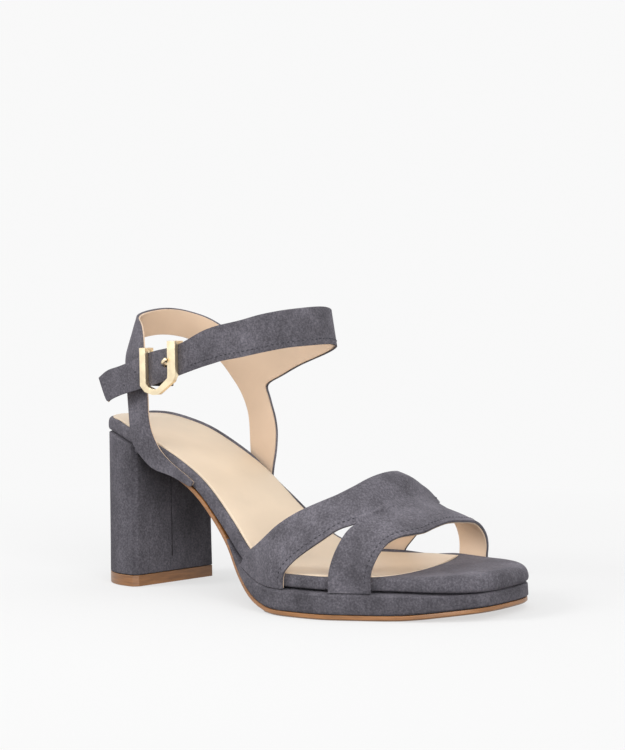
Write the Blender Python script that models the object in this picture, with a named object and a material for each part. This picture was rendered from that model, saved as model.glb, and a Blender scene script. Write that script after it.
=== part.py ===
"""Block heel platform sandal, right foot, with crossed vamp straps and a buckled ankle strap.

The frame has +X from the heel to the toe, +Y to the inner (medial) side of the foot and +Z up.
The origin is on the floor, at the middle of the heel's top lift. Sizes below are in millimetres.
"""
import math

import bmesh
import bpy
from mathutils import Matrix, Vector

MM = 0.001

# Driving sizes of the last
FOOTBED_LENGTH = 217.0
BALL_WIDTH = 84.0
SEAT_WIDTH = 52.0
HEEL_HEIGHT = 76.0
INSTEP_HEIGHT = 40.4
HEEL_SETBACK = 17.2
FIT_GAP = 0.3

# Sole stack, measured square to the footbed
FOOTBED_THICK = 6.4
PLATFORM_THICK = 8.8
OUTSOLE_THICK = 2.2
FOREFOOT_HEIGHT = FOOTBED_THICK + PLATFORM_THICK + OUTSOLE_THICK + 2 * FIT_GAP
SOCK_THICK = 1.0
PLATFORM_START = 0.455
PLATFORM_FULL = 0.62
PLATFORM_SKIN = 0.6
LEDGE = 2.2
TOE_LEDGE_START = 0.86
TOE_PAD = 1.6
TOE_PAD_START = 0.84
TOE_THINNING = 3.2
TOE_ROUND = 2.4
TOE_LEDGE_LOSS = 1.5
OUTSOLE_INSET = 0.5
FOOTBED_ROUND = 2.0
SOCK_INSET = 0.2

# Heel
HEEL_BACK = -14.2
HEEL_FRONT = 17.8
HEEL_WIDTH = 47.4
HEEL_TOP_WIDTH = 46.2
HEEL_TURN = 6.9
TOP_LIFT_THICK = 5.0
HEEL_CORNER = 2.0
HEEL_FLAT = 0.8
HEEL_WAIST = 0.3

# Upper
STRAP_THICK = 1.8
VAMP_STRAP_CELLS = 4
ANKLE_STRAP_WIDTH = 15.2
ANKLE_HEIGHT = 119.0
LOOP_LENGTH = 99.4
LOOP_WIDTH = 52.8
STRAP_CELLS = 4

# Buckle
BUCKLE_LENGTH = 21.2
BUCKLE_HEIGHT = 24.2
BUCKLE_REACH = 10.0
BUCKLE_DROP = 13.0
BUCKLE_DEPTH = 2.2
HOOK_THICK = 1.1
RAIL_HEIGHT = 1.6
RAIL_DEPTH = 1.5
RAIL_SINK = 1.8
HOOK_INSET = 0.4
BUCKLE_JOINT = 0.1
CENTRE_BAR = 2.0
CENTRE_BAR_OUT = 1.3
PRONG_RADIUS = 0.8
PRONG_HOLE = 3.0
PRONG_TIP = 7.8
PRONG_RISE = 1.5
HOLE_RADIUS = 1.7
ELASTIC_THICK = 0.9
ELASTIC_TAIL = 13.0
ELASTIC_LOW = -9.4
ELASTIC_TOP = 2.4

# The last's plan: station is a share of the footbed's length, each side a share of the ball's half width
OUTLINE = [
    # station, lateral, medial
    (0.000, 0.000, 0.000),
    (0.006, 0.130, 0.130),
    (0.024, 0.270, 0.275),
    (0.055, 0.395, 0.405),
    (0.110, 0.510, 0.520),
    (0.180, 0.578, 0.572),
    (0.260, 0.588, 0.540),
    (0.340, 0.610, 0.520),
    (0.430, 0.715, 0.512),
    (0.540, 0.955, 0.605),
    (0.640, 1.145, 0.750),
    (0.720, 1.120, 0.885),
    (0.800, 0.950, 0.950),
    (0.870, 0.760, 0.965),
    (0.925, 0.610, 0.880),
    (0.965, 0.450, 0.730),
    (0.988, 0.300, 0.530),
    (0.997, 0.160, 0.300),
    (1.000, 0.000, 0.080),
]
# Height of the footbed's top: share of the drop from the seat to the forefoot
PROFILE = [
    # station, drop
    (0.000, 0.990),
    (0.060, 0.985),
    (0.130, 0.928),
    (0.215, 0.818),
    (0.325, 0.620),
    (0.430, 0.325),
    (0.520, 0.090),
    (0.600, 0.000),
    (0.720, 0.000),
    (0.860, 0.000),
    (0.940, 0.010),
    (1.000, 0.024),
]

# Sock, as shares of the footbed's length
SOCK_BALL = 0.60
SOCK_END_LATERAL = 0.819
SOCK_END_MEDIAL = 0.775
SOCK_FRONT = [
    # station, share of the ball's half width to the medial side
    (0.834, -0.750),
    (0.845, -0.526),
    (0.842, -0.236),
    (0.829, 0.095),
    (0.808, 0.452),
    (0.790, 0.690),
]

# Stretch in which the outsole leaves the footbed for the platform, as a share of the footbed's length
OUTSOLE_LEAD = 0.05
ARCH_ROWS = 14

# Vamp: girth is 0 at the lateral edge of the footbed, 0.5 on top and 1 at the medial edge
LATERAL_NOTCH = 0.265
MEDIAL_NOTCH = 0.66
GIRTH_TUCK = 0.001
VAMP_SIDE_ROWS = 11
VAMP_TOP_ROWS = 16
VAMP_EDGES = [
    # girth, rear edge, gap's rear, gap's front, front edge
    (0.000, 0.518, 0.648, 0.748, 0.822),
    (0.045, 0.548, 0.674, 0.751, 0.824),
    (0.090, 0.576, 0.707, 0.754, 0.827),
    (0.140, 0.606, 0.736, 0.757, 0.830),
    (0.200, 0.647, 0.754, 0.760, 0.835),
    (0.265, 0.698, 0.768, 0.768, 0.848),
    (0.300, 0.713, 0.772, 0.772, 0.860),
    (0.370, 0.726, 0.775, 0.775, 0.871),
    (0.460, 0.728, 0.775, 0.775, 0.870),
    (0.530, 0.726, 0.775, 0.775, 0.867),
    (0.600, 0.713, 0.775, 0.775, 0.867),
    (0.660, 0.692, 0.774, 0.774, 0.862),
    (0.780, 0.646, 0.746, 0.776, 0.846),
    (0.900, 0.598, 0.699, 0.772, 0.838),
    (1.000, 0.568, 0.650, 0.767, 0.830),
]
# Height of the last's crown over the footbed
CROWN = [
    # station, share of the instep height
    (0.500, 1.000),
    (0.690, 0.985),
    (0.715, 0.950),
    (0.740, 0.908),
    (0.752, 0.830),
    (0.765, 0.720),
    (0.795, 0.610),
    (0.830, 0.560),
    (0.855, 0.495),
    (0.875, 0.440),
    (0.910, 0.400),
]

# Ankle loop
LOOP_FRONT = 104.6
LOOP_SQUARE = 0.8
LOOP_BACK = 1.0
LOOP_LEAN = 30.0
LOOP_LEVEL = 0.96
SLING_FLARE = 34.0
LOOP_FORM = [
    # share of the ankle height, share of the loop's length
    (0.45, 1.150),
    (0.60, 1.130),
    (0.73, 1.106),
    (0.86, 1.067),
    (1.00, 1.000),
    (1.08, 0.970),
]
SLING_ROWS = 52
ROOT_ROW = 35
SLING = [
    # place, rear edge's turn and rise, front edge's turn and rise
    (0.000, 272.5, 0.010, 273.5, 0.056),
    (0.020, 266.2, -0.012, 270.5, 0.057),
    (0.045, 261.2, -0.027, 267.0, 0.057),
    (0.070, 256.2, -0.051, 263.4, 0.060),
    (0.095, 251.0, -0.066, 259.1, 0.074),
    (0.120, 246.2, -0.051, 255.3, 0.097),
    (0.145, 241.8, -0.018, 252.4, 0.131),
    (0.170, 238.4, 0.012, 250.0, 0.176),
    (0.195, 235.6, 0.045, 248.0, 0.227),
    (0.220, 233.8, 0.115, 246.8, 0.282),
    (0.245, 232.3, 0.205, 245.8, 0.331),
    (0.275, 230.0, 0.320, 245.0, 0.420),
    (0.305, 226.5, 0.430, 243.0, 0.530),
    (0.335, 221.0, 0.555, 239.5, 0.670),
    (0.365, 212.0, 0.665, 235.0, 0.796),
    (0.400, 201.0, 0.765, 229.5, 0.915),
    (0.430, 190.0, 0.820, 221.5, 1.008),
    (0.460, 180.6, 0.847, 204.0, 1.044),
    (0.490, 174.0, 0.857, 184.0, 1.078),
    (0.520, 167.4, 0.862, 169.0, 1.097),
    (0.550, 158.0, 0.858, 155.0, 1.083),
    (0.580, 150.0, 0.846, 145.0, 1.055),
    (0.610, 142.7, 0.828, 135.0, 1.020),
    (0.645, 132.0, 0.775, 123.5, 0.955),
    (0.686, 119.0, 0.675, 110.0, 0.845),
    (0.725, 110.2, 0.565, 99.5, 0.715),
    (0.765, 104.5, 0.492, 90.2, 0.582),
    (0.810, 99.8, 0.410, 87.4, 0.480),
    (0.855, 97.0, 0.340, 84.9, 0.405),
    (0.900, 95.3, 0.260, 83.2, 0.320),
    (0.940, 94.2, 0.175, 82.8, 0.215),
    (0.970, 93.4, 0.095, 83.6, 0.120),
    (1.000, 93.0, 0.000, 84.5, 0.000),
]
ANKLE_ROUND_ROWS = 26
ANKLE_ROUND = [
    # place, turn, low edge, high edge
    (0.00, 90.2, 0.751, 0.880),
    (0.05, 84.0, 0.785, 0.915),
    (0.12, 74.5, 0.828, 0.960),
    (0.28, 52.0, 0.880, 1.015),
    (0.42, 26.0, 0.915, 1.050),
    (0.55, 0.0, 0.930, 1.066),
    (0.68, -26.0, 0.927, 1.062),
    (0.80, -48.0, 0.910, 1.048),
    (0.90, -63.0, 0.890, 1.026),
    (1.00, -74.0, 0.876, 1.011),
]
TAB_END = 0.8
TAB_LENGTH = 71.0
TAB_CLEARANCE = 0.5
TAB_LEAD = 0.35
ANKLE_TAB_ROWS = 20
ANKLE_TAB = [
    # place, share of the tab's length from its end, slant of the row, low edge, high edge
    (0.00, 1.00, 0.0, 0.876, 1.011),
    (0.15, 0.87, 0.0, 0.855, 0.986),
    (0.35, 0.66, 0.0, 0.814, 0.927),
    (0.55, 0.46, 0.0, 0.777, 0.902),
    (0.80, 0.20, 0.0, 0.737, 0.846),
    (0.95, 0.06, 0.10, 0.711, 0.822),
    (1.00, 0.00, 0.30, 0.700, 0.795),
]

# Buckle's place, and its front as shares of its length and height
BUCKLE_X = 38.5
BUCKLE_RISE = 0.852
BUCKLE_SLOPE = 15.6
BUCKLE_FRONT = [
    # outer edge along and up, inner edge along and up
    (0.000, 0.851, 0.160, 0.851),
    (0.000, 0.157, 0.160, 0.207),
    (0.127, 0.050, 0.231, 0.145),
    (0.354, 0.000, 0.373, 0.103),
    (0.514, 0.012, 0.486, 0.120),
    (0.929, 0.260, 0.774, 0.322),
    (1.000, 0.372, 0.783, 0.405),
    (1.000, 1.000, 0.783, 1.000),
]


def interpolate(rows, column, at):
    """Value of a table's column at a place in its first column, on a smooth curve that never overshoots."""
    places = [row[0] for row in rows]
    values = [row[column] for row in rows]
    slopes = [
        (values[i + 1] - values[i]) / (places[i + 1] - places[i]) for i in range(len(rows) - 1)
    ]
    tangents = [slopes[0]]
    for before, after in zip(slopes, slopes[1:]):
        mixed = 0.0 if before * after <= 0 else 2 * before * after / (before + after)
        tangents.append(mixed)
    tangents.append(slopes[-1])
    at = min(max(at, places[0]), places[-1])
    i = min(max(k for k in range(len(rows)) if places[k] <= at), len(rows) - 2)
    step = places[i + 1] - places[i]
    t = (at - places[i]) / step
    return (
        values[i] * (1 + 2 * t) * (1 - t) ** 2
        + values[i + 1] * t * t * (3 - 2 * t)
        + step * (tangents[i] * t * (1 - t) ** 2 - tangents[i + 1] * t * t * (1 - t))
    )


def half_width(station, side):
    """Half width of the footbed at a station: side -1 is lateral and +1 is medial."""
    return interpolate(OUTLINE, 1 if side < 0 else 2, station) * BALL_WIDTH / 2


def top_height(station):
    return FOREFOOT_HEIGHT + interpolate(PROFILE, 1, station) * (HEEL_HEIGHT - FOREFOOT_HEIGHT)


def along(station):
    return station * FOOTBED_LENGTH - HEEL_SETBACK


def station_at(x):
    return (x + HEEL_SETBACK) / FOOTBED_LENGTH


def down_normal(station):
    """Direction square to the footbed, pointing into the sole."""
    step = 0.012
    low, high = max(0.0, station - step), min(1.0, station + step)
    run = along(high) - along(low)
    rise = top_height(high) - top_height(low)
    return Vector((rise, 0.0, -run)).normalized()


def platform_depth(station):
    """Thickness of the platform, which fades out along the arch and thins to the toe."""
    rise = smooth_step((station - PLATFORM_START) / (PLATFORM_FULL - PLATFORM_START))
    return PLATFORM_SKIN + (PLATFORM_THICK - PLATFORM_SKIN) * rise - TOE_THINNING * toe_share(station)


def smooth_step(value):
    value = min(max(value, 0.0), 1.0)
    return value * value * (3 - 2 * value)


def new_material(name, colour, roughness, metallic=0.0):
    material = bpy.data.materials.new(name)
    material.use_nodes = True
    shader = material.node_tree.nodes["Principled BSDF"]
    shader.inputs["Base Color"].default_value = (*colour, 1.0)
    shader.inputs["Roughness"].default_value = roughness
    shader.inputs["Metallic"].default_value = metallic
    return material


def new_object(name, vertices, faces, material, sharp=40):
    """Object from vertices in millimetres, with its faces turned outward."""
    mesh = bpy.data.meshes.new(name)
    mesh.from_pydata([Vector(vertex) * MM for vertex in vertices], [], faces)
    builder = bmesh.new()
    builder.from_mesh(mesh)
    bmesh.ops.recalc_face_normals(builder, faces=builder.faces)
    builder.to_mesh(mesh)
    builder.free()
    mesh.shade_smooth()
    mesh.set_sharp_from_angle(angle=math.radians(sharp))
    mesh.materials.append(material)
    placed = bpy.data.objects.new(name, mesh)
    bpy.context.collection.objects.link(placed)
    return placed


def stack_solid(name, rings, material, sharp=40):
    """Closed solid from rings: the lateral points run heel to toe, then the medial points toe to heel."""
    size = len(rings[0])
    rows = size // 2
    vertices = [point for ring in rings for point in ring]
    faces = []
    for level in range(len(rings) - 1):
        base = level * size
        for i in range(size):
            j = (i + 1) % size
            faces.append((base + i, base + j, base + size + j, base + size + i))
    for base in (0, (len(rings) - 1) * size):
        for i in range(rows - 1):
            faces.append((base + i, base + i + 1, base + size - 2 - i, base + size - 1 - i))
    return new_object(name, vertices, faces, material, sharp)


def offset_point(station, side, offset, depth):
    """Point outside the footbed's outline by an offset in plan, a depth under its top surface."""
    step = 0.004
    low, high = max(0.0, station - step), min(1.0, station + step)
    run = along(high) - along(low)
    spread = half_width(high, side) - half_width(low, side)
    outward = Vector((-spread, run)).normalized()
    x = along(station) + outward.x * offset
    width = max(half_width(station, side) + outward.y * offset, FIT_GAP)
    at = station_at(x)
    return Vector((x, side * width, top_height(at))) + down_normal(at) * depth


def stations(start, end, count):
    """Stations from start to end, closer together at the heel's back and at the toe."""
    first = math.acos(1 - 2 * start)
    last = math.acos(1 - 2 * end)
    return [(1 - math.cos(first + (last - first) * i / (count - 1))) / 2 for i in range(count)]


def sole_ring(lateral, medial, offset, depth):
    """Ring around the sole; the offset and the depth are functions of the station."""
    near = [offset_point(s, -1, offset(s), depth(s)) for s in lateral]
    far = [offset_point(s, 1, offset(s), depth(s)) for s in medial]
    return near + far[::-1]


def constant(value):
    return lambda station: value


def toe_share(station):
    """How far a station lies in the toe: 0 up to the pad's start and 1 at the tip."""
    return smooth_step((station - TOE_PAD_START) / (1 - TOE_PAD_START))


def footbed_depth(station):
    """Thickness of the footbed, which is padded at the toe."""
    return FOOTBED_THICK + TOE_PAD * toe_share(station)


def footbed_round(station):
    return FOOTBED_ROUND + TOE_ROUND * toe_share(station)


def make_footbed(material):
    places = stations(0.0, 1.0, 44)
    rows = [
        # inset and depth as shares of the rounding, from the top or, where marked, from the underside
        (1.0, 0.0, False),
        (0.3, 0.3, False),
        (0.0, 1.0, False),
        (0.0, 0.5, True),
        (0.4, 0.0, True),
    ]
    rings = []
    for inset, deep, under in rows:
        def depth(station, deep=deep, under=under):
            return footbed_depth(station) - deep * FOOTBED_ROUND if under else deep * footbed_round(station)

        rings.append(sole_ring(places, places, lambda s, i=inset: -i * footbed_round(s), depth))
    return stack_solid("footbed", rings, material, 60)


def sock_stations(end, count):
    """Stations for one side of the sock: the footbed's own up to the ball, then evenly to the side's end."""
    shared = stations(0.0, SOCK_BALL, count - 8)
    return shared + [SOCK_BALL + (end - SOCK_BALL) * i / 8 for i in range(1, 9)]


def make_sock(material):
    near = sock_stations(SOCK_END_LATERAL, 40)
    far = sock_stations(SOCK_END_MEDIAL, 40)
    rings = []
    for depth in (-FIT_GAP - SOCK_THICK, -FIT_GAP):
        ring = sole_ring(near, far, constant(-SOCK_INSET - FOOTBED_ROUND), constant(depth))
        front = [
            Vector((along(at), across * BALL_WIDTH / 2, top_height(at))) + down_normal(at) * depth
            for at, across in SOCK_FRONT
        ]
        rings.append(ring[: len(near)] + front + ring[len(near) :])
    return stack_solid("sock", rings, material)


def ledge(station):
    """How far the platform's edge stands out of the footbed's."""
    start = smooth_step((station - PLATFORM_START) / (PLATFORM_FULL - PLATFORM_START) * 2)
    toe = smooth_step((station - TOE_LEDGE_START) / (1 - TOE_LEDGE_START))
    return LEDGE * start * (1 - TOE_LEDGE_LOSS * toe)


def platform_stations():
    return stations(PLATFORM_START, 1.0, 36)


def make_platform(material):
    places = platform_stations()
    rows = [
        # inset, share of the platform's thickness
        (0.8, 0.0),
        (0.0, 0.12),
        (0.0, 0.90),
        (0.6, 1.0),
    ]
    rings = [
        sole_ring(
            places,
            places,
            lambda s, i=i: ledge(s) - i,
            lambda s, p=p: footbed_depth(s) + FIT_GAP + p * platform_depth(s),
        )
        for i, p in rows
    ]
    return stack_solid("platform", rings, material, 60)


def outsole_top(station):
    if station < PLATFORM_START - OUTSOLE_LEAD:
        return FOOTBED_THICK + FIT_GAP
    lead = smooth_step((station - PLATFORM_START + OUTSOLE_LEAD) / OUTSOLE_LEAD)
    return footbed_depth(station) + FIT_GAP + lead * (platform_depth(station) + FIT_GAP)


def breast_station(side):
    """Station at which the outsole's side meets the heel's breast."""
    depth = FOOTBED_THICK + FIT_GAP + OUTSOLE_THICK
    x = HEEL_FRONT + side * SEAT_WIDTH / 2 * math.tan(math.radians(HEEL_TURN)) + FIT_GAP
    at = station_at(x)
    for _ in range(6):
        at = station_at(x - down_normal(at).x * depth)
    return at


def outsole_stations(side):
    """Stations of the outsole: evenly along the arch, then the platform's own."""
    start = breast_station(side)
    arch = [start + (PLATFORM_START - start) * i / ARCH_ROWS for i in range(ARCH_ROWS)]
    return arch + platform_stations()


def make_outsole(material):
    near = outsole_stations(-1)
    far = outsole_stations(1)
    rows = [
        # inset, share of the outsole's thickness
        (0.0, 0.0),
        (0.0, 0.7),
        (0.8, 1.0),
    ]
    rings = [
        sole_ring(
            near,
            far,
            lambda s, i=i: ledge(s) - OUTSOLE_INSET - i,
            lambda s, p=p: outsole_top(s) + p * OUTSOLE_THICK,
        )
        for i, p in rows
    ]
    return stack_solid("outsole", rings, material)


def underside_height(x, depth):
    """Height of the surface that lies a depth under the footbed's top, at a place along the shoe."""
    at = station_at(x)
    for _ in range(6):
        at = station_at(x - down_normal(at).x * depth)
    return top_height(at) + down_normal(at).z * depth


def heel_plan(grow, count=22):
    """Lateral and medial points of the heel's D shape, back to front, as (x, y) pairs."""
    radius = HEEL_WIDTH / 2 + grow
    back = HEEL_BACK - grow
    turn = math.tan(math.radians(HEEL_TURN))
    lateral = []
    medial = []
    for i in range(count):
        share = 1 - math.cos(math.pi / 2 * i / (count - 1))
        for points, side in ((lateral, -1), (medial, 1)):
            front = HEEL_FRONT + side * radius * turn
            x = back + share * (front - back)
            from_back = min(x - back, radius)
            width = math.sqrt(max(radius**2 - (radius - from_back) ** 2, 0.0))
            corner = max(x - (front - HEEL_CORNER), 0.0)
            width -= HEEL_CORNER - math.sqrt(max(HEEL_CORNER**2 - corner**2, 0.0))
            points.append((x, side * max(width, HEEL_FLAT)))
    return lateral, medial


def heel_ring(grow, height):
    lateral, medial = heel_plan(grow)
    return [Vector((x, y, height(x))) for x, y in lateral + medial[::-1]]


def make_heel_block(material):
    foot = TOP_LIFT_THICK + FIT_GAP
    spread = (HEEL_TOP_WIDTH - HEEL_WIDTH) / 2
    rings = [
        heel_ring(0.0, constant(foot)),
        heel_ring(spread / 2, constant(foot + HEEL_WAIST * (HEEL_HEIGHT - foot))),
        heel_ring(spread, lambda x: underside_height(x, FOOTBED_THICK + FIT_GAP)),
    ]
    return stack_solid("heel_block", rings, material, 50)


def make_top_lift(material):
    rings = [heel_ring(0.0, constant(z)) for z in (0.0, TOP_LIFT_THICK)]
    return stack_solid("heel_top_lift", rings, material, 50)


def vamp_point(station, girth):
    """Point on the last's forefoot: girth runs from 0 at the lateral edge over the top to 1 at the medial."""
    base = top_height(station)
    if girth < 0.0 or girth > 1.0:
        side = -1 if girth < 0 else 1
        return offset_point(station, side, FIT_GAP, FOOTBED_THICK)
    angle = math.pi * girth
    side = -1 if girth < 0.5 else 1
    foot = offset_point(station, side, FIT_GAP, 0.0)
    crown = interpolate(CROWN, 1, station) * INSTEP_HEIGHT
    return Vector((foot.x, foot.y * abs(math.cos(angle)), base + crown * math.sin(angle)))


def vamp_row(girth, cells):
    """Left and right band of the vamp at one girth, as two lists of points."""
    rear = interpolate(VAMP_EDGES, 1, girth)
    front = interpolate(VAMP_EDGES, 4, girth)
    gap_rear = interpolate(VAMP_EDGES, 2, girth)
    gap_front = interpolate(VAMP_EDGES, 3, girth)
    if LATERAL_NOTCH < girth < MEDIAL_NOTCH:
        gap_rear = gap_front = (gap_rear + gap_front) / 2
    first = [rear + (gap_rear - rear) * i / cells for i in range(cells + 1)]
    second = [gap_front + (front - gap_front) * i / cells for i in range(cells + 1)]
    return [vamp_point(s, girth) for s in first], [vamp_point(s, girth) for s in second]


def sheet_object(name, rows, material, thickness):
    """Thin wall from a sheet's faces, given as lists of corner points; shared corners are merged first."""
    mesh = bpy.data.meshes.new(name)
    builder = bmesh.new()
    for corners in rows:
        builder.faces.new([builder.verts.new(point * MM) for point in corners])
    bmesh.ops.remove_doubles(builder, verts=builder.verts, dist=0.01 * MM)
    bmesh.ops.recalc_face_normals(builder, faces=builder.faces)
    centre = sum((vertex.co for vertex in builder.verts), Vector()) / len(builder.verts)
    outward = sum(face.normal.dot(face.calc_center_median() - centre) for face in builder.faces)
    if outward < 0:
        bmesh.ops.reverse_faces(builder, faces=builder.faces)
    builder.to_mesh(mesh)
    builder.free()
    mesh.shade_smooth()
    mesh.materials.append(material)
    placed = bpy.data.objects.new(name, mesh)
    bpy.context.collection.objects.link(placed)
    wall = placed.modifiers.new("Wall", "SOLIDIFY")
    wall.thickness = thickness * MM
    wall.offset = 1.0
    wall.use_even_offset = True
    return placed


def grid_faces(rows):
    """Quads between neighbouring rows of points."""
    faces = []
    for low, high in zip(rows, rows[1:]):
        for i in range(len(low) - 1):
            faces.append((low[i], low[i + 1], high[i + 1], high[i]))
    return faces


def make_vamp(material):
    lateral = [LATERAL_NOTCH * i / VAMP_SIDE_ROWS for i in range(VAMP_SIDE_ROWS + 1)]
    span = MEDIAL_NOTCH - LATERAL_NOTCH
    middle = [LATERAL_NOTCH + span * i / VAMP_TOP_ROWS for i in range(1, VAMP_TOP_ROWS)]
    rest = 1 - MEDIAL_NOTCH
    medial = [MEDIAL_NOTCH + rest * i / VAMP_SIDE_ROWS for i in range(VAMP_SIDE_ROWS + 1)]
    girths = [-GIRTH_TUCK] + lateral + middle + medial + [1 + GIRTH_TUCK]
    bands = [vamp_row(girth, VAMP_STRAP_CELLS) for girth in girths]
    faces = grid_faces([band[0] for band in bands]) + grid_faces([band[1] for band in bands])
    return sheet_object("vamp_straps", faces, material, STRAP_THICK)


def ankle_point(turn, height):
    """Point on the ankle's form: turn in degrees is 0 at the front, 90 medial, 180 at the back, 270 lateral."""
    rise = height / ANKLE_HEIGHT
    half_length = interpolate(LOOP_FORM, 1, rise) * LOOP_LENGTH / 2
    cosine, sine = math.cos(math.radians(turn)), math.sin(math.radians(turn))
    power = LOOP_SQUARE if cosine > 0 else LOOP_BACK
    x = LOOP_FRONT - half_length + half_length * math.copysign(abs(cosine) ** power, cosine)
    x += LOOP_LEAN * (LOOP_LEVEL - rise) * max(cosine, 0.0) ** 2
    side = -1 if sine < 0 else 1
    waist = half_width(min(max(station_at(x), 0.0), 1.0), side) + FIT_GAP
    crease = top_height(min(max(station_at(x), 0.0), 1.0))
    blend = smooth_step((height - crease) / SLING_FLARE)
    reach = waist + (LOOP_WIDTH / 2 * abs(sine) ** LOOP_SQUARE - waist) * blend
    return Vector((x, side * reach, height))


def sling_point(turn, rise):
    """Point of the sling: rise is 0 at the crease under the footbed and 1 at the ankle height."""
    height = rise * ANKLE_HEIGHT
    for _ in range(4):
        crease = underside_height(ankle_point(turn, height).x, FOOTBED_THICK)
        height = crease + rise * (ANKLE_HEIGHT - crease)
    return ankle_point(turn, height)


def table_rows(rows, columns, count):
    """Evenly spaced rows through a table, its first column running from 0 to 1."""
    return [
        [interpolate(rows, column, i / (count - 1)) for column in range(1, columns + 1)] for i in range(count)
    ]


def sling_rows():
    rows = []
    for rear_turn, rear_rise, front_turn, front_rise in table_rows(SLING, 4, SLING_ROWS):
        points = []
        for i in range(STRAP_CELLS + 1):
            share = i / STRAP_CELLS
            turn = rear_turn + (front_turn - rear_turn) * share
            rise = rear_rise + (front_rise - rear_rise) * share
            points.append(sling_point(turn, rise))
        rows.append(points)
    return rows


def strap_rows(root):
    """Rows of the ankle strap from its root on the sling round the front to the free end."""
    rows = [root]
    for turn, low, high in table_rows(ANKLE_ROUND, 3, ANKLE_ROUND_ROWS)[1:]:
        rises = [high + (low - high) * i / STRAP_CELLS for i in range(STRAP_CELLS + 1)]
        rows.append([ankle_point(turn, rise * ANKLE_HEIGHT) for rise in rises])
    inner = -LOOP_WIDTH / 2
    outer = inner - STRAP_THICK - TAB_CLEARANCE
    for along_share, slant, low, high in table_rows(ANKLE_TAB, 4, ANKLE_TAB_ROWS)[1:]:
        row = []
        for i in range(STRAP_CELLS + 1):
            share = i / STRAP_CELLS
            x = TAB_END + along_share * TAB_LENGTH + slant * share * ANKLE_STRAP_WIDTH
            y = inner + (outer - inner) * smooth_step((1 - along_share) / TAB_LEAD)
            row.append(Vector((x, y, ANKLE_HEIGHT * (high + (low - high) * share))))
        rows.append(row)
    return rows


def make_ankle_strap(material):
    sling = sling_rows()
    root = [row[-1] for row in sling[ROOT_ROW : ROOT_ROW + STRAP_CELLS + 1]]
    faces = grid_faces(sling) + grid_faces(strap_rows(root))
    return sheet_object("ankle_strap", faces, material, STRAP_THICK)


def buckle_matrix(slope):
    """Placing of the buckle: X runs to the front, Y points inward from the strap's inner face and Z up."""
    out = LOOP_WIDTH / 2 + STRAP_THICK + TAB_CLEARANCE
    place = Vector((BUCKLE_X, -out, BUCKLE_RISE * ANKLE_HEIGHT))
    return Matrix.Translation(place) @ Matrix.Rotation(-math.radians(slope), 4, "Y")


def buckle_point(matrix, along_share, up_share, depth):
    """Point of the buckle from shares of its length and height."""
    x = along_share * BUCKLE_LENGTH - BUCKLE_REACH
    return matrix @ Vector((x, depth, up_share * BUCKLE_HEIGHT - BUCKLE_DROP))


BOX_FACES = [(0, 1, 3, 2), (4, 5, 7, 6), (0, 1, 5, 4), (2, 3, 7, 6), (0, 2, 6, 4), (1, 3, 7, 5)]


def box_corners(matrix, low, high):
    """Corners of a box between two places in the buckle's own axes."""
    spans = list(zip(low, high))
    return [matrix @ Vector((x, y, z)) for x in spans[0] for y in spans[1] for z in spans[2]]


def join_helper(target, name, vertices, faces, operation):
    """Joins a helper solid to a piece, or cuts it out, and keeps the helper out of the finished part."""
    helper = new_object(name, vertices, faces, bpy.data.materials.new(name))
    helper.hide_render = True
    helper.display_type = "WIRE"
    modifier = target.modifiers.new(name, "BOOLEAN")
    modifier.object = helper
    modifier.operation = operation
    modifier.solver = "EXACT"


def buckle_front(matrix, material):
    """Front of the frame: a flat band along both edges of its table."""
    back = -STRAP_THICK - FIT_GAP
    vertices = []
    for depth in (back - BUCKLE_DEPTH, back):
        for column in (0, 2):
            vertices += [buckle_point(matrix, row[column], row[column + 1], depth) for row in BUCKLE_FRONT]
    count = len(BUCKLE_FRONT)
    faces = [(0, count, 3 * count, 2 * count), (count - 1, 2 * count - 1, 4 * count - 1, 3 * count - 1)]
    for i in range(count - 1):
        for a, b in ((0, count), (2 * count, 3 * count), (0, 2 * count), (count, 3 * count)):
            faces.append((a + i, a + i + 1, b + i + 1, b + i))
    return new_object("buckle_frame", vertices, faces, material)


def make_buckle_frame(matrix, material):
    """Two bars and a pointed foot; hooks over the strap's edge carry a rail that holds the centre bar."""
    frame = buckle_front(matrix, material)
    step = BUCKLE_JOINT
    outside = -STRAP_THICK - FIT_GAP - BUCKLE_DEPTH / 2
    inside = FIT_GAP + RAIL_DEPTH
    blocks = []
    rail = []
    for name, row in (("rear", BUCKLE_FRONT[0]), ("front", BUCKLE_FRONT[-1])):
        ends = [share * BUCKLE_LENGTH - BUCKLE_REACH for share in (row[0], row[2])]
        left, right = min(ends) + HOOK_INSET, max(ends) - HOOK_INSET
        top = row[1] * BUCKLE_HEIGHT - BUCKLE_DROP - step
        low = top - HOOK_THICK
        blocks.append((name + "_hook", (left, outside, low), (right, inside - step, top)))
        leg = (left + step, FIT_GAP, low - RAIL_SINK - RAIL_HEIGHT)
        blocks.append((name + "_leg", leg, (right - step, inside, top - step)))
        rail.append(((left + right) / 2, low - RAIL_SINK))
    half = CENTRE_BAR / 2
    under = sum(low for x, low in rail) / 2 - RAIL_HEIGHT / 2
    base = (-half, CENTRE_BAR_OUT, ELASTIC_LOW + FIT_GAP)
    blocks.append(("centre_bar", base, (half, CENTRE_BAR_OUT + CENTRE_BAR, under)))
    for name, low, high in blocks:
        join_helper(frame, name, box_corners(matrix, low, high), BOX_FACES, "UNION")
    corners = [
        matrix @ Vector((x, y, low - drop))
        for x, low in rail
        for y in (FIT_GAP + step, inside - 2 * step)
        for drop in (RAIL_HEIGHT - step, 0.0)
    ]
    join_helper(frame, "rail", corners, BOX_FACES, "UNION")
    return frame


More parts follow.
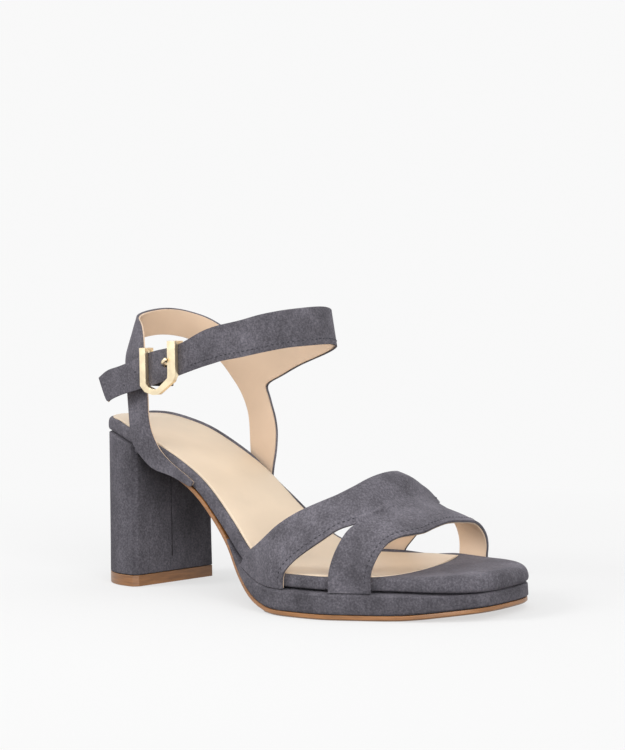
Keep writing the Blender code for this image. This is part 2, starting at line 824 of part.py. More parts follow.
def make_prong(matrix, material):
    """Tongue through the strap's hole, lying on the front bar."""
    rest = -STRAP_THICK - 2 * FIT_GAP - BUCKLE_DEPTH - PRONG_RADIUS
    route = [
        # share of the way from the hole to the tip, share of the resting depth
        (-0.06, 0.00),
        (0.00, 0.33),
        (0.15, 0.72),
        (0.40, 0.93),
        (0.70, 1.00),
        (1.00, 1.00),
    ]
    curve = bpy.data.curves.new("buckle_prong", "CURVE")
    curve.dimensions = "3D"
    curve.bevel_depth = PRONG_RADIUS * MM
    curve.bevel_resolution = 2
    curve.use_fill_caps = True
    spline = curve.splines.new("POLY")
    spline.points.add(len(route) - 1)
    for point, (share, deep) in zip(spline.points, route):
        place = Vector((PRONG_HOLE + share * (PRONG_TIP - PRONG_HOLE), deep * rest, share * PRONG_RISE))
        point.co = (*(matrix @ place * MM), 1.0)
    curve.materials.append(material)
    prong = bpy.data.objects.new("buckle_prong", curve)
    bpy.context.collection.objects.link(prong)
    return prong


def make_elastic(matrix, material):
    """Elastic loop round the centre bar, its tail lying between the strap and the sling's lateral leg."""
    out, thick = FIT_GAP, ELASTIC_THICK
    half = CENTRE_BAR / 2 + FIT_GAP
    deep = CENTRE_BAR_OUT + CENTRE_BAR + FIT_GAP
    outline = [
        (-ELASTIC_TAIL, out),
        (half + thick, out),
        (half + thick, deep + thick),
        (-half - thick, deep + thick),
        (-half - thick, out + thick),
        (-ELASTIC_TAIL, out + thick),
    ]
    hole = [(-half, out + thick), (half, out + thick), (half, deep), (-half, deep)]
    levels = (ELASTIC_LOW, ELASTIC_TOP)
    vertices = [matrix @ Vector((x, y, z)) for z in levels for x, y in outline + hole]
    caps = [(0, 1, 7, 6, 4, 5), (1, 2, 8, 7), (2, 3, 9, 8), (3, 4, 6, 9)]
    size = len(outline) + len(hole)
    faces = caps + [tuple(i + size for i in cap) for cap in caps]
    for first, count in ((0, len(outline)), (len(outline), len(hole))):
        for i in range(count):
            a, b = first + i, first + (i + 1) % count
            faces.append((a, b, b + size, a + size))
    return new_object("buckle_elastic", vertices, faces, material)


def cut_prong_hole(strap, matrix):
    """Round hole in the strap for the prong."""
    points = []
    count = 16
    for y in (STRAP_THICK, -2 * STRAP_THICK):
        for i in range(count):
            angle = 2 * math.pi * i / count
            x = PRONG_HOLE + HOLE_RADIUS * math.cos(angle)
            points.append(matrix @ Vector((x, y, HOLE_RADIUS * math.sin(angle))))
    faces = [(i, (i + 1) % count, count + (i + 1) % count, count + i) for i in range(count)]
    faces += [tuple(range(count)), tuple(range(count, 2 * count))]
    join_helper(strap, "prong_hole", points, faces, "DIFFERENCE")


def remove_all():
    for placed in list(bpy.data.objects):
        bpy.data.objects.remove(placed, do_unlink=True)


def main():
    remove_all()
    suede = new_material("Grey suede", (0.105, 0.100, 0.125), 0.9)
    strap_suede = new_material("Grey suede straps", (0.115, 0.110, 0.135), 0.9)
    tan = new_material("Tan sock leather", (0.80, 0.62, 0.43), 0.6)
    caramel = new_material("Caramel outsole", (0.36, 0.14, 0.04), 0.45)
    gold = new_material("Pale gold", (0.80, 0.62, 0.38), 0.25, 1.0)
    make_footbed(suede)
    make_sock(tan)
    make_platform(suede)
    make_outsole(caramel)
    make_heel_block(suede)
    make_top_lift(caramel)
    make_vamp(strap_suede)
    cut_prong_hole(make_ankle_strap(strap_suede), buckle_matrix(BUCKLE_SLOPE))
    make_buckle_frame(buckle_matrix(0.0), gold)
    make_prong(buckle_matrix(BUCKLE_SLOPE), gold)
    make_elastic(buckle_matrix(0.0), new_material("Black elastic", (0.012, 0.012, 0.014), 0.8))


main()
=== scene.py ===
"""Looks of a block heel platform sandal with crossed vamp straps and a buckled ankle strap.

Each operator dresses one piece or group of like pieces of the fixed frame, in metres.
"""

import math

import bmesh
import bpy
from mathutils import Matrix, Vector
from mathutils.bvhtree import BVHTree


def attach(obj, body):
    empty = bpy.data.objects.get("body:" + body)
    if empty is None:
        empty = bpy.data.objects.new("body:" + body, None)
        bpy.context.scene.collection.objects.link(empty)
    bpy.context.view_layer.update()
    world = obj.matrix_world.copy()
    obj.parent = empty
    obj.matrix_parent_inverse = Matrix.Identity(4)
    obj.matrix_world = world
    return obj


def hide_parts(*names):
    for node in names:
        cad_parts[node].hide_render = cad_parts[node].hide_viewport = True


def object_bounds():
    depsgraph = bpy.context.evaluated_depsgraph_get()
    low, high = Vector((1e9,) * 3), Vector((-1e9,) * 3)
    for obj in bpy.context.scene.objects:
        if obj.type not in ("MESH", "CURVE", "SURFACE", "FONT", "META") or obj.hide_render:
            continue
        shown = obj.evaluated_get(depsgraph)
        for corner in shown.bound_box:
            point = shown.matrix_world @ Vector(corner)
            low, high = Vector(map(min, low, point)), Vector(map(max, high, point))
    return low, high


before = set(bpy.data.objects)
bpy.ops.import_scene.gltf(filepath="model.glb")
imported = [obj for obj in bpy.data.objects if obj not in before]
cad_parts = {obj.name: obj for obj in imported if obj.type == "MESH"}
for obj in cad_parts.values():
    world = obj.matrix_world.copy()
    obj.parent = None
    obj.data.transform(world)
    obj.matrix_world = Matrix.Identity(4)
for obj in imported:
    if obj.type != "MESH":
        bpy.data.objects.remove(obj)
CAD_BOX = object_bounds()

bl_info = {
    "name": "Block Heel Sandal",
    "version": (1, 0, 0),
    "blender": (4, 5, 0),
    "location": "View3D > Sidebar > Sandal",
    "description": "Suede, lining, stitches, buckle and studio for a block heel sandal",
    "category": "Object",
}

BODY = "root"
MERGE = 0.00001
SMOOTH_EDGE = math.radians(38)

# Sole: the rim fades out ahead of the straps and is higher on the far side
SOCK_SINK = 0.0012
SOCK_ROUND = 0.0003
RIM_END = 0.145
RIM_FADE = 0.02
RIM_MIDDLE = 0.004
RIM_NEAR_SHARE = 0.4
TOP_SLOPE = 0.75
TOP_AREA = 0.00005
SHANK_WRAP = 0.03

# Heel's cover seam, down the middle of its breast
SEAM_ACROSS = -0.0019
SEAM_HEIGHTS = (0.012, 0.024, 0.036, 0.048, 0.058)
SEAM_HALF_WIDTH = 0.0005
SEAM_RISE = 0.0002
SEAM_THICKNESS = 0.0003
SEAM_START = 0.1

# Lap of strap 1 over strap 2
CREASE_REACH = 0.012
CREASE_LEAD = 0.004
CREASE_END = 0.002
CREASE_POWER = 0.6
LAP_EDGE = 0.0004
LAP_FADE = 0.005
TROUGH_FADE = 0.0022
CORNER_REACH = 0.007
CORNER_SHARE = 0.5
CREASE = [
    # middle of the crease where strap 1 laps strap 2, from the gap's corner to where it fades out
    (0.1512, -0.0279, 0.0411),
    (0.1521, -0.0235, 0.0424),
    (0.1528, -0.0190, 0.0434),
    (0.1536, -0.0145, 0.0440),
    (0.1543, -0.0099, 0.0445),
]

# Stitches and pinholes
STITCH_SUNK_SHARE = 0.25
STITCH_CHAIN_LEAST = 4
FRONT_EDGE_TURN = -0.25
LOWER_EDGE_TURN = 0.6
LOOP_START = 0.054
LOOP_LOW = 0.085
SOLE_CLEARANCE = 0.0016
HOLE_RADIUS = 0.0005
HOLE_DEPTH = 0.0006
HOLE_SINK = 0.00027
PINHOLES = [
    # along the shoe and height
    (0.0316, 0.1009),
    (0.0234, 0.0980),
    (0.0165, 0.0919),
]

# Buckle
FRAME_ROUND = 0.0004
ELASTIC_ROUND = 0.0002

# Studio
WORLD_STRENGTH = 0.64
LENS = 130.52
FLOOR_DEPTH = 2.0
SWEEP_RADIUS = 1.0
SWEEP_STEPS = 12
WALL_HEIGHT = 4.0
FLOOR_GAP = 0.0002
SHADOW_MIDDLE = (0.09, 0.0, 0.0)
SHADOW_NEAR = 0.16
SHADOW_FAR = 0.42
LIGHTS = [
    # name, place, size and power
    ("Key", (-1.1, -1.5, 1.3), 0.9, 28.0),
    ("Fill", (1.6, -1.2, 0.7), 1.4, 34.0),
    ("Top", (0.2, 0.2, 2.0), 1.4, 6.0),
]


class SandalSettings(bpy.types.PropertyGroup):
    suede: bpy.props.FloatVectorProperty(
        name="Suede",
        description="Colour of the grey suede",
        subtype="COLOR",
        size=3,
        min=0.0,
        max=1.0,
        default=(0.112, 0.105, 0.122),
    )
    lining: bpy.props.FloatVectorProperty(
        name="Lining",
        description="Colour of the straps' leather lining",
        subtype="COLOR",
        size=3,
        min=0.0,
        max=1.0,
        default=(0.68, 0.51, 0.37),
    )
    sock: bpy.props.FloatVectorProperty(
        name="Sock",
        description="Colour of the leather sock on the footbed",
        subtype="COLOR",
        size=3,
        min=0.0,
        max=1.0,
        default=(0.71, 0.575, 0.43),
    )
    caramel: bpy.props.FloatVectorProperty(
        name="Outsole",
        description="Colour of the outsole's edge and of the top lift",
        subtype="COLOR",
        size=3,
        min=0.0,
        max=1.0,
        default=(0.35, 0.155, 0.055),
    )
    gold: bpy.props.FloatVectorProperty(
        name="Buckle",
        description="Colour of the gold plate",
        subtype="COLOR",
        size=3,
        min=0.0,
        max=1.0,
        default=(0.95, 0.80, 0.55),
    )
    suede_thickness: bpy.props.FloatProperty(
        name="Suede thickness",
        description="Thickness of the straps' suede with its reinforcement",
        subtype="DISTANCE",
        unit="LENGTH",
        default=0.001,
    )
    lining_thickness: bpy.props.FloatProperty(
        name="Lining thickness",
        description="Thickness of the straps' lining",
        subtype="DISTANCE",
        unit="LENGTH",
        default=0.00078,
    )
    lining_inset: bpy.props.FloatProperty(
        name="Lining inset",
        description="Distance of the lining's edge from the folded edge of the suede",
        subtype="DISTANCE",
        unit="LENGTH",
        default=0.0003,
    )
    lap_height: bpy.props.FloatProperty(
        name="Lap height",
        description="Rise of the upper strap where it laps the lower one",
        subtype="DISTANCE",
        unit="LENGTH",
        default=0.0007,
    )
    lap_depth: bpy.props.FloatProperty(
        name="Lap depth",
        description="Depth of the trough beside the lapping strap's edge",
        subtype="DISTANCE",
        unit="LENGTH",
        default=0.0005,
    )
    fold: bpy.props.FloatProperty(
        name="Folded edge",
        description="Radius of the suede's folded edges",
        subtype="DISTANCE",
        unit="LENGTH",
        default=0.00045,
    )
    rim_height: bpy.props.FloatProperty(
        name="Rim height",
        description="Height of the footbed cover's rim round the sock",
        subtype="DISTANCE",
        unit="LENGTH",
        default=0.0022,
    )
    rim_width: bpy.props.FloatProperty(
        name="Rim width",
        description="Width of the footbed cover's rim round the sock",
        subtype="DISTANCE",
        unit="LENGTH",
        default=0.0006,
    )
    sole_round: bpy.props.FloatProperty(
        name="Sole rounding",
        description="Rounding of the edges of the covered sole pieces",
        subtype="DISTANCE",
        unit="LENGTH",
        default=0.0007,
    )
    stitch_pitch: bpy.props.FloatProperty(
        name="Stitch pitch",
        description="Distance from one stitch to the next",
        subtype="DISTANCE",
        unit="LENGTH",
        default=0.0023,
    )
    stitch_length: bpy.props.FloatProperty(
        name="Stitch length",
        description="Length of thread that shows in each stitch",
        subtype="DISTANCE",
        unit="LENGTH",
        default=0.0014,
    )
    stitch_inset: bpy.props.FloatProperty(
        name="Stitch inset",
        description="Distance of the stitches from the strap's edge",
        subtype="DISTANCE",
        unit="LENGTH",
        default=0.0024,
    )
    thread_radius: bpy.props.FloatProperty(
        name="Thread radius",
        description="Radius of the sewing thread",
        subtype="DISTANCE",
        unit="LENGTH",
        default=0.00024,
    )
    floor_paint: bpy.props.FloatProperty(
        name="Floor paint",
        subtype="FACTOR",
        description="Share of light that the floor under the shoe reflects, which its shadow takes away",
        default=0.27,
    )
    floor_glow: bpy.props.FloatProperty(
        name="Floor glow",
        subtype="FACTOR",
        description="Even glow of the floor under the shoe",
        default=0.60,
    )
    backdrop: bpy.props.FloatProperty(
        name="Backdrop",
        subtype="FACTOR",
        description="Brightness of the backdrop round the shoe",
        default=0.945,
    )
    view_turn: bpy.props.FloatProperty(
        name="View turn",
        description="Turn of the camera round the shoe",
        subtype="ANGLE",
        default=math.radians(39.54),
    )
    view_height: bpy.props.FloatProperty(
        name="View elevation",
        description="Elevation of the camera over the horizon",
        subtype="ANGLE",
        default=math.radians(4.17),
    )
    view_roll: bpy.props.FloatProperty(
        name="View roll",
        description="Roll of the camera",
        subtype="ANGLE",
        default=math.radians(-0.88),
    )
    view_distance: bpy.props.FloatProperty(
        name="View distance",
        description="Distance of the camera from its target",
        subtype="DISTANCE",
        unit="LENGTH",
        default=1.1979,
    )
    view_target: bpy.props.FloatVectorProperty(
        name="View target",
        description="Point at the middle of the picture",
        subtype="XYZ",
        unit="LENGTH",
        size=3,
        default=(0.0915, 0.0109, 0.0963),
    )


def settings():
    return bpy.context.scene.sandal


# Material helpers


def new_material(name):
    material = bpy.data.materials.new(name)
    material.use_nodes = True
    return material, material.node_tree, material.node_tree.nodes["Principled BSDF"]


def object_coordinates(tree, scale=(1.0, 1.0, 1.0)):
    """Object coordinates, stretched by a mapping, as a socket."""
    coordinate = tree.nodes.new("ShaderNodeTexCoord")
    mapping = tree.nodes.new("ShaderNodeMapping")
    mapping.inputs["Scale"].default_value = scale
    tree.links.new(coordinate.outputs["Object"], mapping.inputs["Vector"])
    return mapping.outputs["Vector"]


def noise(tree, vector, scale, detail=3.0, roughness=0.5):
    texture = tree.nodes.new("ShaderNodeTexNoise")
    texture.inputs["Scale"].default_value = scale
    texture.inputs["Detail"].default_value = detail
    texture.inputs["Roughness"].default_value = roughness
    tree.links.new(vector, texture.inputs["Vector"])
    return texture.outputs["Fac"]


def ramp(tree, value, stops):
    """Colour ramp through (place, colour) stops."""
    node = tree.nodes.new("ShaderNodeValToRGB")
    elements = node.color_ramp.elements
    while len(elements) < len(stops):
        elements.new(0.5)
    for element, (place, colour) in zip(elements, stops):
        element.position = place
        element.color = (*colour, 1.0)
    tree.links.new(value, node.inputs["Fac"])
    return node.outputs["Color"]


def mix(tree, factor, first, second, blend="MIX"):
    node = tree.nodes.new("ShaderNodeMix")
    node.data_type = "RGBA"
    node.blend_type = blend
    for socket, value in ((node.inputs[0], factor), (node.inputs[6], first), (node.inputs[7], second)):
        if isinstance(value, bpy.types.NodeSocket):
            tree.links.new(value, socket)
        else:
            socket.default_value = value
    return node.outputs[2]


def bump(tree, height, strength, distance, under=None):
    node = tree.nodes.new("ShaderNodeBump")
    node.inputs["Strength"].default_value = strength
    node.inputs["Distance"].default_value = distance
    tree.links.new(height, node.inputs["Height"])
    if under is not None:
        tree.links.new(under, node.inputs["Normal"])
    return node.outputs["Normal"]


def shade(colour, factor):
    return tuple(min(channel * factor, 1.0) for channel in colour)


def suede_material(name, tone=1.0, nap=(1.0, 1.0, 1.0)):
    """Short napped suede: brushed lighter and darker patches, a fine speckle and a soft sheen."""
    material, tree, shader = new_material(name)
    colour = shade(settings().suede, tone)
    vector = object_coordinates(tree)
    brushed = noise(tree, object_coordinates(tree, nap), 62.0, 6.0, 0.66)
    patches = ramp(tree, brushed, [(0.33, shade(colour, 0.66)), (0.50, colour), (0.68, shade(colour, 1.42))])
    speckle = noise(tree, vector, 1150.0, 3.0, 0.62)
    stops = [(0.36, (0.68, 0.68, 0.69)), (0.53, (1.0, 1.0, 1.0)), (0.70, (1.42, 1.41, 1.38))]
    grain = ramp(tree, speckle, stops)
    tree.links.new(mix(tree, 1.0, patches, grain, "MULTIPLY"), shader.inputs["Base Color"])
    fibres = bump(tree, noise(tree, vector, 2600.0, 3.0, 0.7), 0.5, 0.00035)
    waves = bump(tree, noise(tree, vector, 120.0, 3.0, 0.5), 0.25, 0.0006, fibres)
    tree.links.new(waves, shader.inputs["Normal"])
    shader.inputs["Roughness"].default_value = 0.92
    shader.inputs["Specular IOR Level"].default_value = 0.18
    shader.inputs["Sheen Weight"].default_value = 0.2
    shader.inputs["Sheen Roughness"].default_value = 0.42
    shader.inputs["Sheen Tint"].default_value = (*shade(colour, 4.2), 1.0)
    return material


def leather_material(name, colour, roughness=0.5, grain=0.35):
    """Smooth lining leather: faint clouds of colour, fine pores and shallow wrinkles."""
    material, tree, shader = new_material(name)
    vector = object_coordinates(tree)
    clouds = noise(tree, vector, 22.0, 4.0, 0.55)
    tint = ramp(tree, clouds, [(0.30, shade(colour, 0.90)), (0.55, colour), (0.75, shade(colour, 1.07))])
    tree.links.new(tint, shader.inputs["Base Color"])
    pores = bump(tree, noise(tree, vector, 1900.0, 3.0, 0.6), grain, 0.0002)
    stretched = object_coordinates(tree, (1.0, 0.35, 1.0))
    wrinkles = bump(tree, noise(tree, stretched, 60.0, 3.0, 0.5), 0.18, 0.0012, pores)
    tree.links.new(wrinkles, shader.inputs["Normal"])
    shine = ramp(tree, clouds, [(0.3, (roughness - 0.06,) * 3), (0.7, (roughness + 0.08,) * 3)])
    tree.links.new(shine, shader.inputs["Roughness"])
    shader.inputs["Specular IOR Level"].default_value = 0.42
    shader.inputs["Coat Weight"].default_value = 0.08
    shader.inputs["Coat Roughness"].default_value = 0.4
    return material


def outsole_material(name, tone=1.0):
    """Stained and burnished caramel edge, with faint layers along it."""
    material, tree, shader = new_material(name)
    colour = shade(settings().caramel, tone)
    layers = noise(tree, object_coordinates(tree, (1.0, 1.0, 9.0)), 90.0, 4.0, 0.6)
    tint = ramp(tree, layers, [(0.32, shade(colour, 0.72)), (0.52, colour), (0.72, shade(colour, 1.30))])
    tree.links.new(tint, shader.inputs["Base Color"])
    tree.links.new(bump(tree, layers, 0.25, 0.0003), shader.inputs["Normal"])
    shader.inputs["Roughness"].default_value = 0.42
    shader.inputs["Coat Weight"].default_value = 0.15
    shader.inputs["Coat Roughness"].default_value = 0.35
    return material


def gold_material(name):
    """Polished pale gold plate with a slight orange peel and soft rubbing."""
    material, tree, shader = new_material(name)
    vector = object_coordinates(tree)
    rubbing = noise(tree, vector, 260.0, 4.0, 0.6)
    tint = ramp(tree, rubbing, [(0.3, shade(settings().gold, 0.90)), (0.7, shade(settings().gold, 1.06))])
    tree.links.new(tint, shader.inputs["Base Color"])
    shine = ramp(tree, rubbing, [(0.3, (0.26,) * 3), (0.75, (0.40,) * 3)])
    tree.links.new(shine, shader.inputs["Roughness"])
    tree.links.new(bump(tree, noise(tree, vector, 900.0, 2.0), 0.06, 0.0001), shader.inputs["Normal"])
    shader.inputs["Metallic"].default_value = 1.0
    return material


def plain_material(name, colour, roughness, scale=1400.0, strength=0.4):
    """Matt thread or elastic with a fine ribbed bump."""
    material, tree, shader = new_material(name)
    vector = object_coordinates(tree)
    ribs = noise(tree, vector, scale, 2.0)
    tint = ramp(tree, ribs, [(0.35, shade(colour, 0.6)), (0.65, shade(colour, 1.5))])
    tree.links.new(tint, shader.inputs["Base Color"])
    tree.links.new(bump(tree, ribs, strength, 0.0003), shader.inputs["Normal"])
    shader.inputs["Roughness"].default_value = roughness
    return material


# Mesh helpers


def merged_copy(node):
    """Mesh builder with a CAD node's surface, its triangles merged and joined to quads."""
    builder = bmesh.new()
    builder.from_mesh(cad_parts[node].data)
    bmesh.ops.remove_doubles(builder, verts=builder.verts, dist=MERGE)
    bmesh.ops.join_triangles(
        builder,
        faces=builder.faces,
        angle_face_threshold=math.radians(32),
        angle_shape_threshold=math.radians(60),
    )
    return builder


def add_piece(name, builder, materials, replaced=()):
    """Object from a mesh builder, riding on the shoe and standing for the CAD nodes that it replaces."""
    mesh = bpy.data.meshes.new(name)
    builder.to_mesh(mesh)
    builder.free()
    mesh.shade_smooth()
    for material in materials:
        mesh.materials.append(material)
    piece = bpy.data.objects.new(name, mesh)
    bpy.context.scene.collection.objects.link(piece)
    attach(piece, BODY)
    if replaced:
        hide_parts(*replaced)
    return piece


def round_edges(piece, width, segments=2, angle=35.0):
    modifier = piece.modifiers.new("Edges", "BEVEL")
    modifier.width = width
    modifier.segments = segments
    modifier.limit_method = "ANGLE"
    modifier.angle_limit = math.radians(angle)
    modifier.harden_normals = False
    return modifier


def subdivide(piece, levels):
    modifier = piece.modifiers.new("Smooth", "SUBSURF")
    modifier.levels = levels
    modifier.render_levels = levels
    modifier.boundary_smooth = "PRESERVE_CORNERS"
    return modifier


def wall_sides(builder):
    """Faces of the outer and of the inner side of a strap's wall."""
    builder.faces.ensure_lookup_table()
    centre = sum((vertex.co for vertex in builder.verts), Vector()) / len(builder.verts)
    seen = set()
    sides = []
    for first in builder.faces:
        if first in seen:
            continue
        side = []
        waiting = [first]
        seen.add(first)
        while waiting:
            face = waiting.pop()
            side.append(face)
            for edge in face.edges:
                for other in edge.link_faces:
                    if other not in seen and edge.calc_face_angle(math.pi) < SMOOTH_EDGE:
                        seen.add(other)
                        waiting.append(other)
        sides.append(side)
    sides.sort(key=lambda side: sum(face.calc_area() for face in side), reverse=True)

    def outwardness(side):
        return sum(face.normal.dot(face.calc_center_median() - centre) * face.calc_area() for face in side)

    return sorted(sides[:2], key=outwardness, reverse=True)


def side_sheet(node, index):
    """Open sheet of one side of a strap: 0 is the outer side and 1 the inner side."""
    builder = merged_copy(node)
    keep = set(wall_sides(builder)[index])
    bmesh.ops.delete(builder, geom=[face for face in builder.faces if face not in keep], context="FACES")
    return builder


def smooth_sheet(node, index, levels, inset=0.0):
    """Subdivided sheet of one side of a strap, drawn in from its edges by an inset."""
    builder = side_sheet(node, index)
    if inset > 0:
        rim = bmesh.ops.inset_region(
            builder, faces=builder.faces, thickness=inset, use_even_offset=True, use_boundary=True
        )
        bmesh.ops.delete(builder, geom=rim["faces"], context="FACES")
    guide = add_piece(f"{node}_guide", builder, [])
    subdivide(guide, levels)
    smooth = evaluated_builder(guide)
    bpy.data.objects.remove(guide, do_unlink=True)
    return smooth


def press_crease(builder, values):
    """Lifts the lapping strap along its edge and presses a trough beside it, fading out along the crease."""
    line = [Vector(point) for point in CREASE]
    lengths = [0.0]
    for a, b in zip(line, line[1:]):
        lengths.append(lengths[-1] + (b - a).length)
    builder.normal_update()
    moves = []
    for vertex in builder.verts:
        best = None
        for i, (a, b) in enumerate(zip(line, line[1:])):
            span = b - a
            share = min(max((vertex.co - a).dot(span) / span.length_squared, 0.0), 1.0)
            gap = vertex.co - a.lerp(b, share)
            if best is None or gap.length < best[0].length:
                best = (gap, lengths[i] + share * span.length, span)
        gap, walked, span = best
        if gap.length > CREASE_REACH:
            continue
        across = span.cross(vertex.normal).normalized()
        side = gap.dot(across)
        beyond = abs(gap.dot(span.normalized()))
        lead = min(walked / CREASE_LEAD, 1.0)
        fade = lead * (1.0 - walked / lengths[-1]) ** CREASE_POWER * math.exp(-((beyond / CREASE_END) ** 2))
        if side < 0:
            height = values.lap_height * math.exp(side / LAP_FADE) * min(-side / LAP_EDGE, 1.0)
        else:
            height = -values.lap_depth * math.exp(-side / TROUGH_FADE)
        moves.append((vertex, vertex.normal * height * fade))
    for vertex, move in moves:
        vertex.co += move


def draw_back(builder, middle, reach, share):
    """Draws a lining's edge back from a gap's corner, so that the suede covers it there."""
    centre = Vector(middle)
    away = (Vector(CREASE[-1]) - centre).normalized()
    for vertex in builder.verts:
        near = (vertex.co - centre).length
        if near < reach:
            vertex.co += away * (reach - near) * share


def layer_piece(name, builder, material, thickness, radius, replaced=()):
    """Layer of a strap: its sheet is given its thickness inward and its edges are folded round."""
    piece = add_piece(name, builder, [material], replaced)
    wall = piece.modifiers.new("Wall", "SOLIDIFY")
    wall.thickness = thickness
    wall.offset = -1.0
    wall.use_even_offset = True
    round_edges(piece, radius, 3, 50.0)
    return piece


def evaluated_builder(piece):
    """Mesh builder of a piece as its modifiers leave it."""
    bpy.context.view_layer.update()
    graph = bpy.context.evaluated_depsgraph_get()
    builder = bmesh.new()
    builder.from_mesh(piece.evaluated_get(graph).to_mesh())
    return builder


def node_tree(node):
    """Search tree over a CAD node's surface."""
    builder = merged_copy(node)
    tree = BVHTree.FromBMesh(builder)
    builder.free()
    return tree


# Stitching


def boundary_chains(sheet, allowed):
    """Ordered runs of boundary edges whose middle and inward direction are allowed."""
    chosen = {}
    for edge in sheet.edges:
        if len(edge.link_faces) != 1:
            continue
        middle = (edge.verts[0].co + edge.verts[1].co) / 2
        line = (edge.verts[1].co - edge.verts[0].co).normalized()
        inward = edge.link_faces[0].calc_center_median() - middle
        inward = (inward - line * inward.dot(line)).normalized()
        if allowed(middle, inward):
            chosen[edge] = inward
    chains = []
    left = set(chosen)
    ordered = [edge for edge in sheet.edges if edge in left]
    for first in ordered:
        if first not in left:
            continue
        left.discard(first)
        chain = [first]
        for end in (0, 1):
            vertex = first.verts[1 - end]
            while True:
                following = [edge for edge in vertex.link_edges if edge in left]
                if not following:
                    break
                edge = following[0]
                left.discard(edge)
                if end:
                    chain.insert(0, edge)
                else:
                    chain.append(edge)
                vertex = edge.other_vert(vertex)
        chains.append([((e.verts[0].co + e.verts[1].co) / 2, chosen[e]) for e in chain])
    return chains


def stitch_places(chain, surface, inset, pitch):
    """Evenly spaced stitches along a chain: place, direction and surface normal."""
    line = []
    for point, inward in chain:
        hit, normal, _, _ = surface.find_nearest(point + inward * inset)
        line.append((hit, normal))
    places = []
    walked = 0.0
    goal = pitch
    for (a, normal), (b, _) in zip(line, line[1:]):
        step = (b - a).length
        while step > 0 and walked + step >= goal:
            share = (goal - walked) / step
            places.append((a.lerp(b, share), (b - a).normalized(), normal))
            goal += pitch
        walked += step
    return places


def sew(name, sheet, allowed, material):
    """Row of stitches as one piece: each is a short thread sunk at its ends."""
    values = settings()
    surface = BVHTree.FromBMesh(sheet)
    builder = bmesh.new()
    for chain in boundary_chains(sheet, allowed):
        if len(chain) < STITCH_CHAIN_LEAST:
            continue
        for place, along, normal in stitch_places(chain, surface, values.stitch_inset, values.stitch_pitch):
            across = normal.cross(along).normalized()
            turn = Matrix((along, across, normal)).transposed().to_4x4()
            radius = values.thread_radius
            size = Matrix.Diagonal((values.stitch_length / 2, radius, radius, 1.0))
            sunk = Matrix.Translation(place + normal * radius * STITCH_SUNK_SHARE)
            bmesh.ops.create_icosphere(builder, subdivisions=1, radius=1.0, matrix=sunk @ turn @ size)
    return add_piece(name, builder, [material])


# Pieces


class SANDAL_OT_sole(bpy.types.Operator):
    """Covers the footbed, platform and heel in suede and burnishes the outsole and top lift"""

    bl_idname = "sandal.sole"
    bl_label = "Sole"

    def execute(self, context):
        values = settings()
        suede = suede_material("sole suede", 0.92)
        # The heel's suede is a darker copy (tone 0.80): partly its darker brushed nap, partly painted shade
        # for the heel's shaded breast.
        heel_nap_and_shade_suede = suede_material("heel suede", 0.80, (1.0, 1.0, 0.5))
        edge = outsole_material("outsole edge", 0.85)
        lift = outsole_material("top lift", 0.7)
        # The platform's suede is a darker copy (tone 0.80) of the sole's suede: painted shade on its upright
        # sides.
        platform_shaded_suede = suede_material("platform suede", 0.80)
        pieces = (
            ("footbed", suede, "sole_suede", 0.0, 2),
            ("platform", platform_shaded_suede, "sole_suede", values.sole_round, 1),
            ("outsole", edge, "outsole_caramel", values.sole_round * 0.4, 1),
            ("heel_block", heel_nap_and_shade_suede, "sole_suede", values.sole_round * 0.5, 1),
            ("heel_top_lift", lift, "top_lift_rubber", values.sole_round * 0.5, 1),
        )
        for node, material, slot, width, levels in pieces:
            builder = merged_copy(node)
            if node == "footbed":
                self.raise_rim(builder, values)
            materials = [material]
            if node == "outsole":
                materials.append(suede)
                for face in builder.faces:
                    face.material_index = int(face.calc_center_median().x < SHANK_WRAP)
            piece = add_piece(f"{node}_cover", builder, materials, (node,))
            if width > 0:
                round_edges(piece, width)
            subdivide(piece, levels)
        # The seam wears a much darker copy of the suede (tone 0.4): painted shade for the seam's groove.
        self.sew_heel(suede_material("heel seam shade", 0.4))
        return {"FINISHED"}

    def raise_rim(self, builder, values):
        """Low rim round the sock: the cover's edge stands up and its middle lies a step lower."""

        def share(vertex):
            return 1.0 - min(max((vertex.co.x - RIM_END) / RIM_FADE, 0.0), 1.0)

        builder.normal_update()
        top = [face for face in builder.faces if face.normal.z > TOP_SLOPE and face.calc_area() > TOP_AREA]
        rim = {vertex for face in top for vertex in face.verts}
        bmesh.ops.inset_region(builder, faces=top, thickness=values.rim_width, use_even_offset=True)
        inner = {vertex for face in top for vertex in face.verts}
        for vertex in rim:
            far = 1.0 if vertex.co.y > RIM_MIDDLE else RIM_NEAR_SHARE
            vertex.co.z += values.rim_height * far * share(vertex)
        for vertex in inner:
            vertex.co.z -= values.rim_height * share(vertex)

    def sew_heel(self, material):
        """Closed seam down the heel's breast, where its cover meets: a low rounded ridge, in suede darkened
        as painted shade for the seam's groove.
        """
        heel = node_tree("heel_block")
        builder = bmesh.new()
        rows = len(SEAM_HEIGHTS) - 1
        bmesh.ops.create_grid(builder, x_segments=4, y_segments=rows, size=1.0)
        for vertex in builder.verts:
            side = vertex.co.x
            height = SEAM_HEIGHTS[round((vertex.co.y + 1.0) / 2.0 * rows)]
            start = Vector((SEAM_START, SEAM_ACROSS, height))
            hit, normal, _, _ = heel.ray_cast(start, Vector((-1.0, 0.0, 0.0)))
            across = Vector((0.0, 0.0, 1.0)).cross(normal).normalized()
            out = SEAM_RISE * (1.0 - 2.0 * side * side)
            vertex.co = hit + across * side * SEAM_HALF_WIDTH + normal * out
        bmesh.ops.recalc_face_normals(builder, faces=builder.faces)
        builder.faces.ensure_lookup_table()
        if builder.faces[0].normal.x < 0:
            bmesh.ops.reverse_faces(builder, faces=builder.faces)
        seam = add_piece("heel_seam", builder, [material])
        wall = seam.modifiers.new("Wall", "SOLIDIFY")
        wall.thickness = SEAM_THICKNESS
        wall.offset = -1.0


